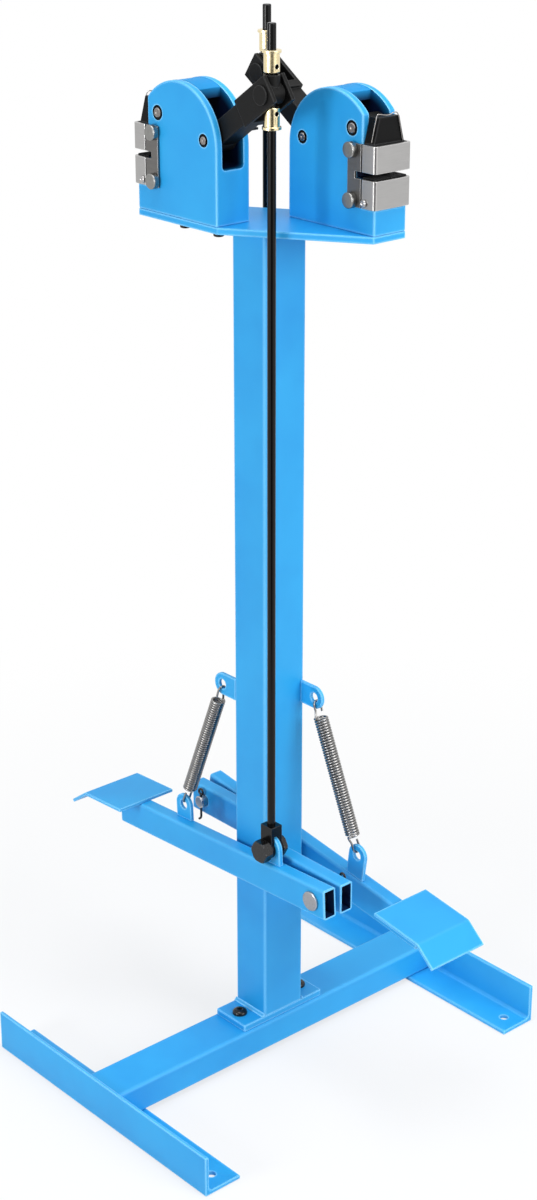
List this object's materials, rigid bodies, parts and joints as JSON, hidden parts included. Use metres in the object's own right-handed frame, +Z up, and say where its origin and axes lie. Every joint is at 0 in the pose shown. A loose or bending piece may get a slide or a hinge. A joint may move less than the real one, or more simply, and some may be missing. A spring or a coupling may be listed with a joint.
{
  "type": "shrinker stretcher stand",
  "caption": "Floor stand with twin foot levers, pull rods and two sheet metal jaw heads on a common post.",
  "frame": {"origin": "on the floor under the middle of the post", "axes": "+X along the base beam toward the right foot, +Y toward the back, +Z up"},
  "size_m": [0.5472, 0.5621, 1.2705],
  "materials": {
    "blue_paint": "semi-gloss powder coat",
    "black_steel": "black oxide",
    "jaw_steel": "hardened, dark",
    "bright_steel": "brushed",
    "brass": "turned",
    "spring_steel": "oiled"
  },
  "bodies": {
    "stand": {"foot_left": "blue_paint", "foot_right": "blue_paint", "base_beam": "blue_paint", "base_welds": "blue_paint", "post": "blue_paint", "post_base_plate": "blue_paint", "base_bolts": "black_steel", "base_nuts": "black_steel", "top_plate": "blue_paint", "post_tabs": "blue_paint", "pivot_stub_left": "blue_paint", "pivot_stub_right": "blue_paint", "pivot_pins": "bright_steel", "pivot_spacers": "bright_steel", "split_pins": "bright_steel", "head_left": "blue_paint", "head_right": "blue_paint", "head_bolts": "black_steel", "handle_pins": "bright_steel", "rocker_pins": "bright_steel", "jaws_lower": "jaw_steel", "jaw_seats": "jaw_steel", "jaw_straps": "bright_steel", "jaw_caps": "bright_steel", "strap_screws": "bright_steel", "spring_left": "spring_steel", "spring_right": "spring_steel"},
    "lever_left": {"lever_left": "blue_paint", "pedal_left": "blue_paint", "lever_tab_left": "blue_paint", "rod_tab_left": "blue_paint"},
    "rod_left": {"rod_left": "black_steel", "yoke_left": "black_steel", "yoke_bolt_left": "black_steel", "yoke_nut_left": "black_steel", "collars_left": "brass"},
    "arm_left": {"arm_left": "black_steel"},
    "swivel_left": {"swivel_left": "black_steel", "swivel_screws_left": "black_steel"},
    "rocker_left": {"rocker_left": "black_steel"},
    "jaw_left": {"jaw_holder_left": "black_steel", "jaws_upper_left": "jaw_steel"},
    "lever_right": {"lever_right": "blue_paint", "pedal_right": "blue_paint", "lever_tab_right": "blue_paint", "rod_tab_right": "blue_paint"},
    "rod_right": {"rod_right": "black_steel", "yoke_right": "black_steel", "yoke_bolt_right": "black_steel", "yoke_nut_right": "black_steel", "collars_right": "brass"},
    "arm_right": {"arm_right": "black_steel"},
    "swivel_right": {"swivel_right": "black_steel", "swivel_screws_right": "black_steel"},
    "rocker_right": {"rocker_right": "black_steel"},
    "jaw_right": {"jaw_holder_right": "black_steel", "jaws_upper_right": "jaw_steel"}
  },
  "joints": [
    {"name": "pedal_left", "type": "hinge", "parent": "stand", "child": "lever_left", "pos_m": [-0.0475, -0.139, 0.2762], "axis": [-1, 0, 0], "range_deg": [0, 12], "stiffness_Nm_per_rad": 20, "springref_deg": -20.05, "deforming": ["spring_left"]},
    {"name": "rod_left", "type": "hinge", "parent": "lever_left", "child": "rod_left", "pos_m": [-0.0475, -0.0576, 0.31031], "axis": [1, 0, 0], "range_deg": [0, 13.2]},
    {"name": "arm_left", "type": "hinge", "parent": "stand", "child": "arm_left", "pos_m": [-0.0475, 0.0266, 1.1406], "axis": [1, 0, 0], "range_deg": [0, 11.6]},
    {"name": "swivel_left", "type": "hinge", "parent": "arm_left", "child": "swivel_left", "pos_m": [-0.0475, -0.0576, 1.198], "axis": [-1, 0, 0], "range_deg": [0, 10.5]},
    {"name": "rocker_left", "type": "hinge", "parent": "stand", "child": "rocker_left", "pos_m": [-0.0475, 0.104, 1.1605], "axis": [-1, 0, 0], "range_deg": [0, 14.2]},
    {"name": "jaw_left", "type": "slide", "parent": "stand", "child": "jaw_left", "axis": [0, 0, -1], "range_m": [0, 0.0058]},
    {"name": "pedal_right", "type": "hinge", "parent": "stand", "child": "lever_right", "pos_m": [0.0475, 0.139, 0.2762], "axis": [1, 0, 0], "range_deg": [0, 12], "stiffness_Nm_per_rad": 20, "springref_deg": -20.05, "deforming": ["spring_right"]},
    {"name": "rod_right", "type": "hinge", "parent": "lever_right", "child": "rod_right", "pos_m": [0.0475, 0.0576, 0.30374], "axis": [-1, 0, 0], "range_deg": [0, 13.2]},
    {"name": "arm_right", "type": "hinge", "parent": "stand", "child": "arm_right", "pos_m": [0.0475, -0.0266, 1.1406], "axis": [-1, 0, 0], "range_deg": [0, 11.6]},
    {"name": "swivel_right", "type": "hinge", "parent": "arm_right", "child": "swivel_right", "pos_m": [0.0475, 0.0576, 1.198], "axis": [1, 0, 0], "range_deg": [0, 10.5]},
    {"name": "rocker_right", "type": "hinge", "parent": "stand", "child": "rocker_right", "pos_m": [0.0475, -0.104, 1.1605], "axis": [1, 0, 0], "range_deg": [0, 14.2]},
    {"name": "jaw_right", "type": "slide", "parent": "stand", "child": "jaw_right", "axis": [0, 0, -1], "range_m": [0, 0.0058]}
  ],
  "couplings": [
    {"joint": "rod_left", "follows": "pedal_left", "ratio": 1.0847},
    {"joint": "arm_left", "follows": "pedal_left", "ratio": 0.9544},
    {"joint": "swivel_left", "follows": "pedal_left", "ratio": 0.8697},
    {"joint": "rocker_left", "follows": "pedal_left", "ratio": 1.16},
    {"joint": "jaw_left", "follows": "pedal_left", "m_per_rad": 0.0267},
    {"joint": "rod_right", "follows": "pedal_right", "ratio": 1.0764},
    {"joint": "arm_right", "follows": "pedal_right", "ratio": 0.9473},
    {"joint": "swivel_right", "follows": "pedal_right", "ratio": 0.871},
    {"joint": "rocker_right", "follows": "pedal_right", "ratio": 1.16},
    {"joint": "jaw_right", "follows": "pedal_right", "m_per_rad": 0.0267}
  ]
}
